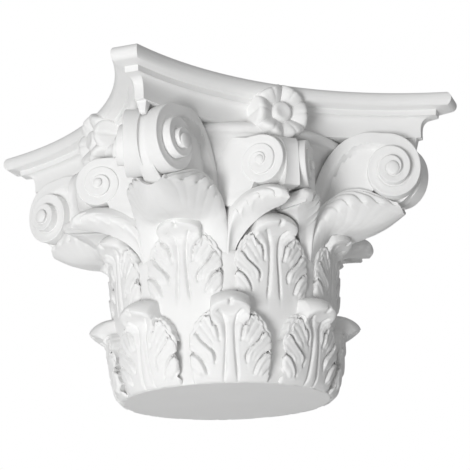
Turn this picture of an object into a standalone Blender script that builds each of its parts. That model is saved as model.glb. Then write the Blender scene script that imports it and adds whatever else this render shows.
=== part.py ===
"""Corinthian capital, moulded in one piece.

The capital repeats eight times round its axis. One eighth is modelled, from the middle of
the front face (direction 0) to the corner (direction 45): its pieces are joined by a
Boolean, cut on the two planes, mirrored and turned round the axis.

Free carving is given in modules. One module is half the lower diameter, as in the orders.
"""

import math

import bmesh
import bpy
from mathutils import Matrix, Vector

# Driving sizes, in metres
LOWER_DIAMETER = 0.220
HEIGHT = 0.308
ABACUS_HEIGHT = 0.044
ABACUS_DIAGONAL = 0.531
HORN_WIDTH = 0.028
SIDE_HOLLOW = 0.047
LEAF_WIDTH = 0.083
HOOD_WIDTH = 0.052
LOWER_TIP_HEIGHT = 0.076
UPPER_TIP_HEIGHT = 0.160
TIP_OVERHANG = 0.0215
CARVING_DEPTH = 0.0022
VOLUTE_RADIUS = 0.0370
VOLUTE_RISE = 0.0150
HELIX_RADIUS = 0.0256
HELIX_RISE = 0.0060
FLOWER_RADIUS = 0.0275
BUTTON_RADIUS = 0.0095

# Worked out from the driving sizes
MODULE = LOWER_DIAMETER / 2
BELL_HEIGHT = HEIGHT - ABACUS_HEIGHT
BELL_MODULES = 2.4
HALF_DIAGONAL = ABACUS_DIAGONAL / 2

# How finely the faceted solid is cut, and the share of its triangles kept in the carving
LEAF_COLUMNS = 10
VOLUTE_STEPS = 16
HELIX_STEPS = 12
SPIRAL_TURNS = 2.25
ARC_STEPS = 4
KEPT_SHARE = 0.40

# Directions, in degrees from the middle of the front face
FACE = 0.0
BETWEEN = 22.5
CORNER = 45.0

JOIN_DISTANCE = 1e-6


def spline(points, share):
    """The place at a share, 0 to 1, of a smooth curve through the points."""
    spans = len(points) - 1
    place = min(max(share, 0.0), 1.0) * spans
    first = min(int(place), spans - 1)
    part = place - first
    before, start, end, after = (
        Vector(points[min(max(first + step, 0), spans)]) for step in (-1, 0, 1, 2)
    )
    bend = 2 * before - 5 * start + 4 * end - after
    turn = 3 * start - before - 3 * end + after
    return start + 0.5 * part * ((end - before) + part * (bend + part * turn))


def smooth_step(low, high, value):
    share = min(max((value - low) / (high - low), 0.0), 1.0)
    return share * share * (3 - 2 * share)


def at(direction, out, across, up):
    """A world place from modules out from the axis, across to the right, and up the bell."""
    angle = math.radians(direction)
    ahead = Vector((math.sin(angle), -math.cos(angle), 0.0))
    aside = Vector((math.cos(angle), math.sin(angle), 0.0))
    place = MODULE * (out * ahead + across * aside)
    place.z = BELL_HEIGHT * up / BELL_MODULES
    return place


def new_piece(name, mesh_builder):
    """A closed piece as an object, its faces pointing out."""
    shape = bmesh.new()
    mesh_builder(shape)
    bmesh.ops.remove_doubles(shape, verts=shape.verts[:], dist=JOIN_DISTANCE)
    bmesh.ops.triangulate(shape, faces=shape.faces[:])
    bmesh.ops.recalc_face_normals(shape, faces=shape.faces[:])
    mesh = bpy.data.meshes.new(name)
    shape.to_mesh(mesh)
    shape.free()
    piece = bpy.data.objects.new(name, mesh)
    piece.hide_render = True
    piece.display_type = "WIRE"
    bpy.context.scene.collection.objects.link(piece)
    return piece


def thick_sheet(shape, columns, rows, front, back):
    """A grid bent to front(s, t), and closed by a second one bent to back(s, t)."""
    bmesh.ops.create_grid(shape, x_segments=columns, y_segments=rows, size=0.5)
    shares = {vert: (vert.co.x + 0.5, vert.co.y + 0.5) for vert in shape.verts}
    raised = bmesh.ops.extrude_face_region(shape, geom=shape.faces[:])["geom"]
    for vert in [item for item in raised if isinstance(item, bmesh.types.BMVert)]:
        vert.co = front(vert.co.x + 0.5, vert.co.y + 0.5)
    for vert, (s, t) in shares.items():
        vert.co = back(s, t)


# Bell
BELL_PROFILE = (
    (0.99, 0.0), (0.985, 0.8), (1.0, 1.2), (1.06, 1.7), (1.16, 2.05),
    (1.24, 2.25), (1.315, 2.31), (1.33, 2.36), (1.30, 2.42),
)


def bell(shape):
    """A fat slice of the turned bell, wider than the eighth that is kept."""
    margin = 30.0
    outline = [(0.0, 0.0), *BELL_PROFILE, (0.0, BELL_PROFILE[-1][1])]
    verts = [shape.verts.new(at(FACE - margin, out, 0.0, up)) for out, up in outline]
    face = shape.faces.new(verts)
    sweep = math.radians(CORNER + 2 * margin)
    bmesh.ops.spin(
        shape, geom=[face, *face.verts, *face.edges], axis=(0, 0, 1), cent=(0, 0, 0),
        angle=sweep, steps=7, use_merge=False,
    )


# Abacus: each level is its height share, its pull-back at the horn and at mid-side, and
# the share of the horn's width that is left there
ABACUS_LEVELS = (
    (0.00, 0.0370, 0.0255, 0.34),
    (0.14, 0.0365, 0.0250, 0.35),
    (0.34, 0.0310, 0.0215, 0.38),
    (0.48, 0.0215, 0.0165, 0.46),
    (0.54, 0.0185, 0.0150, 0.50),
    (0.65, 0.0185, 0.0150, 0.50),
    (0.66, 0.0080, 0.0070, 0.72),
    (0.74, 0.0015, 0.0015, 0.96),
    (0.84, 0.0000, 0.0000, 1.00),
    (0.94, 0.0010, 0.0010, 0.99),
    (1.00, 0.0040, 0.0040, 0.93),
)


def abacus_outline(horn_back, side_back, width_share):
    """The four hollow sides, each an arc from one horn's corner to the next."""
    reach = HALF_DIAGONAL - horn_back
    half_width = HORN_WIDTH * width_share / 2
    corner_out = (reach + half_width) * math.sqrt(0.5)
    corner_across = (reach - half_width) * math.sqrt(0.5)
    top_out = (HALF_DIAGONAL + HORN_WIDTH / 2) * math.sqrt(0.5)
    hollow = corner_out - (top_out - SIDE_HOLLOW - side_back)
    radius = (corner_across**2 + hollow**2) / (2 * hollow)
    half_angle = math.asin(corner_across / radius)
    middle = corner_out - hollow + radius
    points = []
    for side in range(4):
        turn = Matrix.Rotation(math.radians(90 * side), 3, "Z")
        for step in range(ARC_STEPS * 2 + 1):
            angle = half_angle * (step / ARC_STEPS - 1)
            across = radius * math.sin(angle)
            out = middle - radius * math.cos(angle)
            points.append(turn @ Vector((across, -out, 0.0)))
    return points


def abacus(shape):
    first = ABACUS_LEVELS[0]
    verts = [shape.verts.new(point) for point in abacus_outline(*first[1:])]
    for vert in verts:
        vert.co.z = BELL_HEIGHT
    face = shape.faces.new(verts)
    for height_share, *level in ABACUS_LEVELS[1:]:
        raised = bmesh.ops.extrude_discrete_faces(shape, faces=[face])["faces"][0]
        for loop, point in zip(raised.loops, abacus_outline(*level)):
            loop.vert.co = point
            loop.vert.co.z = BELL_HEIGHT + height_share * ABACUS_HEIGHT
        face = raised
    shape.faces.new([vert for vert in reversed(verts)])


# Acanthus leaves of the two rows. Paths run up the middle, over the tip and back to the
# bell: modules beyond the leaf's face, and modules above the tip
HOOD_PATH = (
    (-0.065, -0.600), (-0.035, -0.500), (-0.018, -0.400), (-0.005, -0.300), (0.003, -0.200),
    (0.020, -0.120), (0.070, -0.060), (0.140, -0.035), (0.183, 0.005), (0.150, 0.062),
    (0.070, 0.115), (-0.080, 0.150),
)
SIDE_PATH = (
    (-0.065, -0.600), (-0.035, -0.500), (-0.018, -0.400), (-0.005, -0.300), (0.000, -0.200),
    (0.004, -0.130), (0.005, -0.070), (0.000, -0.020), (-0.030, 0.000), (-0.070, 0.002),
    (-0.110, 0.004), (-0.160, 0.006),
)
HOOD_REACH = 0.183
LOBE_HEIGHT = 0.2
FLUTE_WIDTH = 0.4
WRAP_RADIUS = 1.1
LEAF_ROOT = 0.80
LOWER_FACE = 1.145
UPPER_FACE = 1.120
LOWER_FOOT = ((1.02, -0.03),)
UPPER_FOOT = ((1.00, -0.03), (1.02, 0.30), (1.05, 0.62))


def leaf(direction, tip_height, face_out, foot):
    """One leaf as a function for new_piece. foot is its path from the base to the carving."""
    half_width = LEAF_WIDTH / 2 / MODULE
    half_hood = HOOD_WIDTH / 2 / MODULE
    tip_up = tip_height * BELL_MODULES / BELL_HEIGHT
    overhang = TIP_OVERHANG / MODULE / HOOD_REACH
    depth = CARVING_DEPTH / MODULE

    def front(s, t):
        side = 2 * s - 1
        across = abs(side) * half_width
        hooded = 1 - smooth_step(half_hood * 0.92, half_hood * 1.25, across)
        roundness = math.sqrt(max(1 - (across / (half_hood * 1.2)) ** 2, 0.0))
        drop = 0.33 * max(across - half_hood * 0.9, 0.0) / half_width + 0.02
        hood_path = [Vector((overhang * out * (roundness if out > 0 else 1), up))
                     for out, up in HOOD_PATH]
        side_path = [Vector((out, up - drop * smooth_step(-0.6, 0.0, up)))
                     for out, up in SIDE_PATH]
        path = [a * hooded + b * (1 - hooded) for a, b in zip(hood_path, side_path)]
        path = [Vector((out - face_out, up - tip_up)) for out, up in foot] + path
        out, above = spline(path, t)
        carved = smooth_step(-0.66, -0.5, above) * (1 - smooth_step(-0.02, 0.08, above))
        flute = math.cos(2 * math.pi * across / (half_width * FLUTE_WIDTH))
        lobe = abs(math.sin(math.pi * above / LOBE_HEIGHT))
        outer = smooth_step(0.5, 0.7, abs(side)) * (1 - hooded)
        out += depth * carved * (flute * (1 - outer) + outer * (2 * lobe - 1.4))
        edge = 1 - 0.10 * carved * (1 - lobe) * smooth_step(0.9, 1.0, abs(side))
        turned = direction + math.degrees(side * half_width * edge / WRAP_RADIUS)
        return at(turned, face_out + out, 0.0, tip_up + above)

    def back(s, t):
        place = front(s, 0.0)
        place.z += (front(s, 1.0).z - place.z) * t
        radial = Vector((place.x, place.y, 0.0)).normalized() * MODULE * LEAF_ROOT
        return Vector((radial.x, radial.y, place.z))

    rows = len(foot) + len(HOOD_PATH) - 1
    return lambda shape: thick_sheet(shape, LEAF_COLUMNS, rows, front, back)


# Stalk rings: modules out, up and radius
STALK_RINGS = ((1.03, 0.62, 0.085), (1.035, 0.95, 0.085), (1.05, 1.18, 0.095), (1.06, 1.30, 0.13))
STALK_SIDES = 8


def stalk(shape):
    """The stalk that rises between two upper leaves to the sheath of the volutes."""
    rings = []
    for out, up, radius in STALK_RINGS:
        ring = bmesh.ops.create_circle(shape, radius=radius * MODULE, segments=STALK_SIDES)["verts"]
        bmesh.ops.translate(shape, verts=ring, vec=at(BETWEEN, out, 0.0, up))
        rings.append(ring)
    bmesh.ops.bridge_loops(shape, edges=shape.edges[:])
    bmesh.ops.holes_fill(shape, edges=shape.edges[:], sides=STALK_SIDES)


# Corner leaf: its keel and its upper edge, as modules out, across and up
CORNER_KEEL = (
    (1.08, 0.0, 1.15), (1.22, 0.0, 1.38), (1.40, 0.0, 1.45), (1.58, 0.0, 1.50),
    (1.74, 0.0, 1.57), (1.87, 0.0, 1.67),
)
CORNER_EDGE = (
    (1.02, 0.40, 1.22), (1.12, 0.45, 1.50), (1.26, 0.39, 1.69), (1.46, 0.28, 1.79),
    (1.68, 0.13, 1.76), (1.87, 0.01, 1.69),
)
SCALLOPS = 4
CORNER_THICKNESS = 0.22


def corner_leaf(shape):
    depth = CARVING_DEPTH / MODULE

    def hull(s, t, inset):
        side = 2 * s - 1
        keel = spline(CORNER_KEEL, t)
        edge = spline(CORNER_EDGE, t)
        swing = abs(side) * math.pi / 2
        wave = abs(math.sin(math.pi * SCALLOPS * t))
        out = keel.x + (edge.x - keel.x) * (1 - math.cos(swing))
        up = keel.z + (edge.z - keel.z) * (1 - math.cos(swing))
        up += depth * 1.5 * (wave - 0.5) * abs(side) ** 3
        across = edge.y * math.sin(swing) * (1 - inset * 0.6)
        thin = 1 - 0.75 * t
        return at(CORNER, out - inset * thin, math.copysign(across, side), up + inset * 0.5)

    def front(s, t):
        return hull(s, t, 0.0)

    def back(s, t):
        return hull(s, t, CORNER_THICKNESS)

    thick_sheet(shape, 8, 6, front, back)


# Inner leaf: the middle of the tongue, from the stalk to its tip at the face's middle
INNER_SPINE = (
    (1.02, 0.44, 1.20), (1.10, 0.46, 1.42), (1.27, 0.34, 1.60), (1.45, 0.19, 1.69),
    (1.585, 0.06, 1.69), (1.63, -0.02, 1.66),
)
INNER_WIDTHS = (0.10, 0.20, 0.26, 0.26, 0.20, 0.10)
INNER_ROOT = 0.90
INNER_TWIST = 75.0
INNER_BULGE = 0.30


def inner_leaf(shape):
    def tongue(s, t):
        spine = spline(INNER_SPINE, t)
        width = spline([(value, 0.0) for value in INNER_WIDTHS], t).x
        swing = (s - 0.5) * math.pi
        tilt = math.radians(INNER_TWIST) * smooth_step(0.1, 0.7, t)
        aside = width * 0.55 * math.sin(swing)
        out = spine.x + width * INNER_BULGE * math.cos(swing)
        return out, spine.y + aside * math.cos(tilt), spine.z + aside * math.sin(tilt)

    def back(s, t):
        _, across, up = tongue(s, t)
        return at(FACE, INNER_ROOT, across, up + 0.22 * t)

    def front(s, t):
        return at(FACE, *tongue(s, t))

    thick_sheet(shape, 4, 6, front, back)


# Scrolls: the share of its radius that the band keeps at each turn; the eye's place and
# how far the disc is turned; and the two edges of the stem that fans out to it, as modules
# along the disc and up, from the eye, with how proud of the disc it starts and ends
SPIRAL_SHRINK = 0.56
SCROLL_DEPTH = 0.62
VOLUTE_EYE = (0.741 * HALF_DIAGONAL / MODULE, -0.22, 2.09)
VOLUTE_TURNED = -67.5
VOLUTE_PROUD = (-0.08, 0.03)
VOLUTE_BAND = 0.035
VOLUTE_OUTER = (
    (-0.76, -0.80), (-0.75, -0.52), (-0.70, -0.24), (-0.58, 0.02), (-0.42, 0.21), (-0.22, 0.31),
    (0.02, 0.335),
)
VOLUTE_INNER = (
    (-0.62, -0.80), (-0.58, -0.62), (-0.50, -0.45), (-0.38, -0.35), (-0.25, -0.28), (-0.15, -0.22),
    (0.02, 0.05),
)
HELIX_EYE = (1.397, 0.258, 2.008)
HELIX_TURNED = 51.8
HELIX_PROUD = (-0.09, 0.0)
HELIX_BAND = 0.012
HELIX_OUTER = (
    (-0.36, -0.75), (-0.38, -0.50), (-0.38, -0.25), (-0.34, -0.02), (-0.25, 0.12), (-0.12, 0.20),
    (0.02, 0.23),
)
HELIX_INNER = (
    (-0.22, -0.75), (-0.23, -0.50), (-0.22, -0.32), (-0.18, -0.22), (-0.14, -0.17), (-0.08, -0.14),
    (0.02, 0.03),
)


def scroll_frame(direction, eye, turned):
    """Places modules along, up and proud of a disc turned so far from its direction."""
    angle = math.radians(abs(turned))
    hand = math.copysign(1.0, turned)
    eye_out, eye_across, eye_up = eye

    def place(along, up, proud):
        out = eye_out + along * math.sin(angle) + proud * math.cos(angle)
        across = eye_across + hand * (proud * math.sin(angle) - along * math.cos(angle))
        return at(direction, out, across, eye_up + up)

    return place


def scroll_disc(place, radius, rise, steps_per_turn):
    """A disc whose band winds inwards and steps outwards, like a snail's shell."""
    radius /= MODULE
    step_rise = rise / MODULE / SPIRAL_TURNS
    steps = round(steps_per_turn * SPIRAL_TURNS)

    def build(shape):
        bmesh.ops.create_grid(shape, x_segments=steps, y_segments=2, size=0.5)
        for vert in shape.verts:
            turns = (vert.co.x + 0.5) * SPIRAL_TURNS
            row = round((vert.co.y + 0.5) * 2)
            edge = radius * SPIRAL_SHRINK ** (turns + min(row, 1)) * (1.0, 1.12, 1.0)[row]
            proud = step_rise * (turns + (0.0, 0.2, 1.0)[row])
            angle = math.pi / 2 - 2 * math.pi * turns
            vert.co = (edge * math.cos(angle), edge * math.sin(angle), proud)
        bmesh.ops.remove_doubles(shape, verts=shape.verts[:], dist=1e-5)
        bmesh.ops.recalc_face_normals(shape, faces=shape.faces[:])
        open_edges = [edge for edge in shape.edges if edge.is_boundary]
        eye_limit = radius * SPIRAL_SHRINK * 0.95
        eye_edges = [edge for edge in open_edges
                     if max(vert.co.xy.length for vert in edge.verts) < eye_limit]
        rim_edges = [edge for edge in open_edges if edge not in eye_edges]
        bmesh.ops.contextual_create(shape, geom=eye_edges)
        walls = bmesh.ops.extrude_edge_only(shape, edges=rim_edges)["geom"]
        for vert in [item for item in walls if isinstance(item, bmesh.types.BMVert)]:
            vert.co.z = -SCROLL_DEPTH
        back = [item for item in walls
                if isinstance(item, bmesh.types.BMEdge) and item.is_boundary]
        bmesh.ops.contextual_create(shape, geom=back)
        for vert in shape.verts:
            vert.co = place(*vert.co)

    return build


def scroll_fan(place, outer, inner, prouds, band_proud):
    """The stem that fans out from the sheath to the disc, with a raised outer band."""
    foot_proud, end_proud = prouds

    def face(s, t):
        band = smooth_step(0.60, 0.72, s)
        along, up = Vector(spline(inner, t)).lerp(Vector(spline(outer, t)), s)
        proud = foot_proud + (end_proud - foot_proud) * smooth_step(0.0, 1.0, t)
        return place(along, up, proud + band_proud * band * t)

    def back(s, t):
        along, up = Vector(spline(inner, t)).lerp(Vector(spline(outer, t)), s)
        return place(along, up, -0.95 * SCROLL_DEPTH)

    return lambda shape: thick_sheet(shape, 3, 6, face, back)


# Flower on the middle of each side of the abacus
FLOWER_OUT = 1.31
FLOWER_UP = 2.555
PETAL_ANGLES = (-60.0, 0.0, 60.0)
PETAL_PROUD = 0.105


def flower_petal(angle):
    """One rounded petal. Three of the six lie on each side of the face's middle."""
    radius = FLOWER_RADIUS / MODULE

    def build(shape):
        bmesh.ops.create_uvsphere(shape, u_segments=7, v_segments=4, radius=1.0)
        turn = Matrix.Rotation(math.radians(angle), 3, "Z")
        for vert in shape.verts:
            x, y, z = vert.co
            local = turn @ Vector((radius * (0.56 + 0.46 * x), radius * 0.36 * y, 0.0))
            proud = PETAL_PROUD * z - 0.05 * x * abs(x)
            vert.co = at(FACE, FLOWER_OUT + proud, local.x, FLOWER_UP + local.y)

    return build


def flower_heart(shape):
    """The button, and the boss behind it that joins the petals to the abacus."""
    button = BUTTON_RADIUS / MODULE
    profile = ((1.02, 1.6), (1.25, 1.6), (1.33, 0.95), (1.375, 0.85), (1.395, 0.45), (1.40, 0.0))
    verts = [shape.verts.new((button * share, 0.0, out)) for out, share in profile]
    for start, end in zip(verts, verts[1:]):
        shape.edges.new((start, end))
    bmesh.ops.spin(
        shape, geom=[*shape.verts, *shape.edges], axis=(0, 0, 1), cent=(0, 0, 0),
        angle=2 * math.pi, steps=8, use_merge=True,
    )
    bmesh.ops.remove_doubles(shape, verts=shape.verts[:], dist=1e-5)
    bmesh.ops.holes_fill(shape, edges=shape.edges[:], sides=8)
    for vert in shape.verts:
        vert.co = at(FACE, vert.co.z, vert.co.x, FLOWER_UP + vert.co.y)


def base_slab(shape):
    """What lies below the underside, taken away to leave it flat."""
    bmesh.ops.create_cube(shape, size=ABACUS_DIAGONAL * 1.2)
    bmesh.ops.translate(shape, verts=shape.verts, vec=(0, 0, -ABACUS_DIAGONAL * 0.6))


def joined(bell_piece, carvings, abacus_piece, slab):
    """One mesh: the carvings on the bell, thinned out, with the abacus and a flat base."""
    group = bpy.data.collections.new("carvings")
    for carving in carvings:
        group.objects.link(carving)
    carve = bell_piece.modifiers.new("carvings", "BOOLEAN")
    carve.operand_type = "COLLECTION"
    carve.collection = group
    carve.operation = "UNION"
    carve.use_self = True
    thin_out = bell_piece.modifiers.new("thin out", "DECIMATE")
    thin_out.ratio = KEPT_SHARE
    thin_out.use_collapse_triangulate = True
    for name, operation, other in (("abacus", "UNION", abacus_piece), ("base", "DIFFERENCE", slab)):
        modifier = bell_piece.modifiers.new(name, "BOOLEAN")
        modifier.operation = operation
        modifier.object = other
    bpy.context.view_layer.update()
    graph = bpy.context.evaluated_depsgraph_get()
    return bpy.data.meshes.new_from_object(bell_piece.evaluated_get(graph))


def keep_eighth(shape):
    """Cuts away all but the eighth between the face's middle and the corner."""
    for direction, keep in ((FACE, 1), (CORNER, -1)):
        aside = at(direction, 0.0, 1.0, 0.0).normalized() * keep
        bmesh.ops.bisect_plane(
            shape, geom=[*shape.verts, *shape.edges, *shape.faces], dist=JOIN_DISTANCE,
            plane_co=(0, 0, 0), plane_no=aside, clear_inner=True,
        )
        for vert in shape.verts:
            gap = vert.co.dot(aside)
            if abs(gap) < 2 * JOIN_DISTANCE:
                vert.co -= gap * aside


def whole_from_eighth(shape):
    """Mirrors the eighth across the corner's plane, then turns the quarter round the axis."""
    eighth = [*shape.verts, *shape.edges, *shape.faces]
    copy = bmesh.ops.duplicate(shape, geom=eighth)["geom"]
    verts = [item for item in copy if isinstance(item, bmesh.types.BMVert)]
    for vert in verts:
        vert.co.x = -vert.co.x
    faces = [item for item in copy if isinstance(item, bmesh.types.BMFace)]
    bmesh.ops.reverse_faces(shape, faces=faces)
    quarter = [*shape.verts, *shape.edges, *shape.faces]
    for quarter_turn in range(1, 4):
        copy = bmesh.ops.duplicate(shape, geom=quarter)["geom"]
        verts = [item for item in copy if isinstance(item, bmesh.types.BMVert)]
        turn = Matrix.Rotation(math.radians(90 * quarter_turn), 3, "Z")
        bmesh.ops.rotate(shape, verts=verts, cent=(0, 0, 0), matrix=turn)
    bmesh.ops.remove_doubles(shape, verts=shape.verts[:], dist=5 * JOIN_DISTANCE)


def fill_sealed_gaps(shape):
    """Deletes the small shells round gaps that nothing can reach, so the body is solid."""
    left = set(shape.verts)
    shells = []
    while left:
        shell = set()
        growing = [left.pop()]
        while growing:
            vert = growing.pop()
            shell.add(vert)
            near = {edge.other_vert(vert) for edge in vert.link_edges} & left
            left -= near
            growing.extend(near)
        shells.append(shell)
    main_shell = max(shells, key=len)
    inside = [vert for vert in shape.verts if vert not in main_shell]
    bmesh.ops.delete(shape, geom=inside, context="VERTS")


def moulded_material():
    material = bpy.data.materials.new("moulded white")
    material.use_nodes = True
    shader = material.node_tree.nodes["Principled BSDF"]
    shader.inputs["Base Color"].default_value = (0.86, 0.86, 0.85, 1.0)
    shader.inputs["Roughness"].default_value = 0.6
    shader.inputs["Metallic"].default_value = 0.0
    return material


def carving_builders():
    """The carvings that lie in one eighth, each by its name."""
    volute = scroll_frame(CORNER, VOLUTE_EYE, VOLUTE_TURNED)
    helix = scroll_frame(FACE, HELIX_EYE, HELIX_TURNED)
    builders = {
        "lower leaf": leaf(BETWEEN, LOWER_TIP_HEIGHT, LOWER_FACE, LOWER_FOOT),
        "face leaf": leaf(FACE, UPPER_TIP_HEIGHT, UPPER_FACE, UPPER_FOOT),
        "corner upper leaf": leaf(CORNER, UPPER_TIP_HEIGHT, UPPER_FACE, UPPER_FOOT),
        "stalk": stalk,
        "corner leaf": corner_leaf,
        "inner leaf": inner_leaf,
        "volute": scroll_disc(volute, VOLUTE_RADIUS, VOLUTE_RISE, VOLUTE_STEPS),
        "volute fan": scroll_fan(volute, VOLUTE_OUTER, VOLUTE_INNER, VOLUTE_PROUD, VOLUTE_BAND),
        "helix": scroll_disc(helix, HELIX_RADIUS, HELIX_RISE, HELIX_STEPS),
        "helix fan": scroll_fan(helix, HELIX_OUTER, HELIX_INNER, HELIX_PROUD, HELIX_BAND),
        "flower heart": flower_heart,
    }
    for angle in PETAL_ANGLES:
        builders[f"petal {angle:.0f}"] = flower_petal(angle)
    return builders


def main():
    for old in list(bpy.data.objects):
        bpy.data.objects.remove(old)
    carvings = [new_piece(name, build) for name, build in carving_builders().items()]
    bell_piece = new_piece("bell", bell)
    abacus_piece = new_piece("abacus", abacus)
    slab = new_piece("base slab", base_slab)
    mesh = joined(bell_piece, carvings, abacus_piece, slab)
    for helper in [bell_piece, abacus_piece, slab, *carvings]:
        bpy.data.objects.remove(helper)

    shape = bmesh.new()
    shape.from_mesh(mesh)
    keep_eighth(shape)
    whole_from_eighth(shape)
    fill_sealed_gaps(shape)
    shape.to_mesh(mesh)
    shape.free()
    mesh.name = "capital"
    mesh.shade_smooth()
    mesh.set_sharp_from_angle(angle=math.radians(40))
    mesh.materials.clear()
    mesh.materials.append(moulded_material())
    capital = bpy.data.objects.new("capital", mesh)
    bpy.context.scene.collection.objects.link(capital)


main()
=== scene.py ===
"""Looks of a moulded corinthian capital: its carving, its finish, the studio and the camera.

The carving is given in modules, as in the orders: one module is half the lower diameter.
Directions are in degrees round the axis from the middle of the front side. Each group of
like carvings is modelled once, where direction 0 is, and is then turned to its places.
"""

import math

import bmesh
import bpy
import numpy as np
from bpy.props import FloatProperty, FloatVectorProperty, IntProperty, PointerProperty
from mathutils import Matrix, Vector

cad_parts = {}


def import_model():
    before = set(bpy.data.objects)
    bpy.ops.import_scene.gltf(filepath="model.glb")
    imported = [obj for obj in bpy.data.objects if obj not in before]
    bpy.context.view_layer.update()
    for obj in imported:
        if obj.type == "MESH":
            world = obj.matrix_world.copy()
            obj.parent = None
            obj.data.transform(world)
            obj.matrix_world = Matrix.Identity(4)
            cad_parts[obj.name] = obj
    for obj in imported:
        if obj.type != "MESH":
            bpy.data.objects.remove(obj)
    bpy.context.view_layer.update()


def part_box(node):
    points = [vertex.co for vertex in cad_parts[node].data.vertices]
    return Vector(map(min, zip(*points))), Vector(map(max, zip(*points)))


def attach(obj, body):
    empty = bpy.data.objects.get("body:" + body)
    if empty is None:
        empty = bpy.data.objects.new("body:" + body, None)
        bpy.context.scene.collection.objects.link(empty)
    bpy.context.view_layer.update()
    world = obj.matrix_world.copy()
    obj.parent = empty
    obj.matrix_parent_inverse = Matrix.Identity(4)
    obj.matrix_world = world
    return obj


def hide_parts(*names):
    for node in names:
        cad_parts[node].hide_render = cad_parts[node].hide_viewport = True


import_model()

bl_info = {
    "name": "Corinthian Capital",
    "version": (1, 0, 0),
    "blender": (4, 5, 0),
    "location": "View3D > Sidebar > Capital",
    "description": "Carves and finishes a moulded corinthian capital",
    "category": "Add Mesh",
}

NODE = "capital"
LOWEST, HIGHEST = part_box(NODE)
CAPITAL_MODULES = 2.8
MODULE = (HIGHEST[2] - LOWEST[2]) / CAPITAL_MODULES

FACES = (0.0, 90.0, 180.0, 270.0)
CORNERS = (45.0, 135.0, 225.0, 315.0)
BETWEENS = tuple(22.5 + 45.0 * place for place in range(8))

# A join in metres, and the angles past which an edge stays sharp
JOIN_DISTANCE = 1e-6
CREASE_ANGLE = math.radians(38)
CARVED_CREASE = math.radians(60)
MOULDING_CREASE = math.radians(25)


# Curves and blends

def curve(points, shares):
    """Places on a smooth curve through the points, at shares of its length from 0 to 1.

    The points are one row for the whole curve, or one row for each share.
    """
    points = np.asarray(points, float)
    if points.ndim == 2:
        points = np.repeat(points[:, None, :], len(shares), axis=1)
    spans = len(points) - 1
    place = np.clip(shares, 0.0, 1.0) * spans
    first = np.minimum(place.astype(int), spans - 1)
    part = (place - first)[:, None]
    row = np.arange(len(shares))
    before, start, end, after = (
        points[np.clip(first + step, 0, spans), row] for step in (-1, 0, 1, 2)
    )
    bend = 2 * before - 5 * start + 4 * end - after
    turn = 3 * start - before - 3 * end + after
    return start + 0.5 * part * ((end - before) + part * (bend + part * turn))


def from_table(table, values):
    """Values read off a smooth curve through the rows of a table of pairs."""
    line = curve(table, np.linspace(0.0, 1.0, 20 * len(table)))
    return np.interp(values, line[:, 0], line[:, 1])


def blend(low, high, value):
    """0 below low, 1 above high, and a smooth step between."""
    share = np.clip((value - low) / (high - low), 0.0, 1.0)
    return share * share * (3 - 2 * share)


def world(direction, out, across, up):
    """Places in metres, from modules out from the axis, across to the right and up."""
    angle = np.radians(direction)
    across = across + 0.0 * out
    x = out * np.sin(angle) + across * np.cos(angle)
    y = across * np.sin(angle) - out * np.cos(angle)
    return MODULE * np.stack([x, y, up + 0.0 * x], axis=-1)


def net(table, rows, s, t):
    """Places on a smooth net: a table of rows at shares t, each a line of points along s."""
    table = np.asarray(table, float)
    row = np.interp(t, rows, np.linspace(0.0, 1.0, len(rows)))
    lines = [curve(table[:, column], row) for column in range(table.shape[1])]
    return curve(np.array(lines), s).T


def nearest(x, y, points, samples=24):
    """How far each place is from a smooth line, on which side, and how far along it."""
    line = curve(points, np.linspace(0.0, 1.0, samples))
    start, step = line[:-1], np.diff(line, axis=0)
    from_start = np.stack([x, y], axis=-1)[:, None, :] - start
    along = np.clip((from_start * step).sum(-1) / (step**2).sum(-1), 0.0, 1.0)
    offset = from_start - along[..., None] * step
    far = np.hypot(offset[..., 0], offset[..., 1])
    best = far.argmin(axis=1)
    row = np.arange(len(x))
    side = np.sign(step[best, 0] * offset[row, best, 1] - step[best, 1] * offset[row, best, 0])
    return far[row, best], side, (best + along[row, best]) / (samples - 1)


# Meshes

def lay(verts, place):
    """Moves the vertices of a grid, whose x and y run from -0.5 to 0.5, to place(s, t)."""
    shares = np.array([vert.co[:2] for vert in verts]) + 0.5
    for vert, spot in zip(verts, place(shares[:, 0], shares[:, 1])):
        vert.co = spot


def of_kind(items, kind):
    return [item for item in items if isinstance(item, kind)]


def open_edges(items):
    return [edge for edge in of_kind(items, bmesh.types.BMEdge) if edge.is_boundary]


def face_outwards(shape):
    """Turns the faces of closed shells outwards, also after their vertices were moved."""
    shape.normal_update()
    bmesh.ops.recalc_face_normals(shape, faces=shape.faces[:])


def carved_sheet(columns, rows, front, root):
    """A closed shape: a grid laid on front(s, t), with its rim carried back to root(s, t)."""
    shape = bmesh.new()
    bmesh.ops.create_grid(shape, x_segments=columns, y_segments=rows, size=0.5)
    surface = shape.verts[:]
    walls = bmesh.ops.extrude_edge_only(shape, edges=open_edges(shape.edges))["geom"]
    hidden = of_kind(walls, bmesh.types.BMVert)
    lay(hidden, root)
    lay(surface, front)
    bmesh.ops.remove_doubles(shape, verts=hidden, dist=JOIN_DISTANCE)
    bmesh.ops.holes_fill(shape, edges=shape.edges[:], sides=0)
    face_outwards(shape)
    return shape


def add_mirrored(shape):
    """Adds the shape's own reflection in the plane x = 0."""
    copy = bmesh.ops.duplicate(shape, geom=[*shape.verts, *shape.edges, *shape.faces])["geom"]
    bmesh.ops.scale(shape, verts=of_kind(copy, bmesh.types.BMVert), vec=(-1, 1, 1))
    bmesh.ops.reverse_faces(shape, faces=of_kind(copy, bmesh.types.BMFace))


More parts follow.
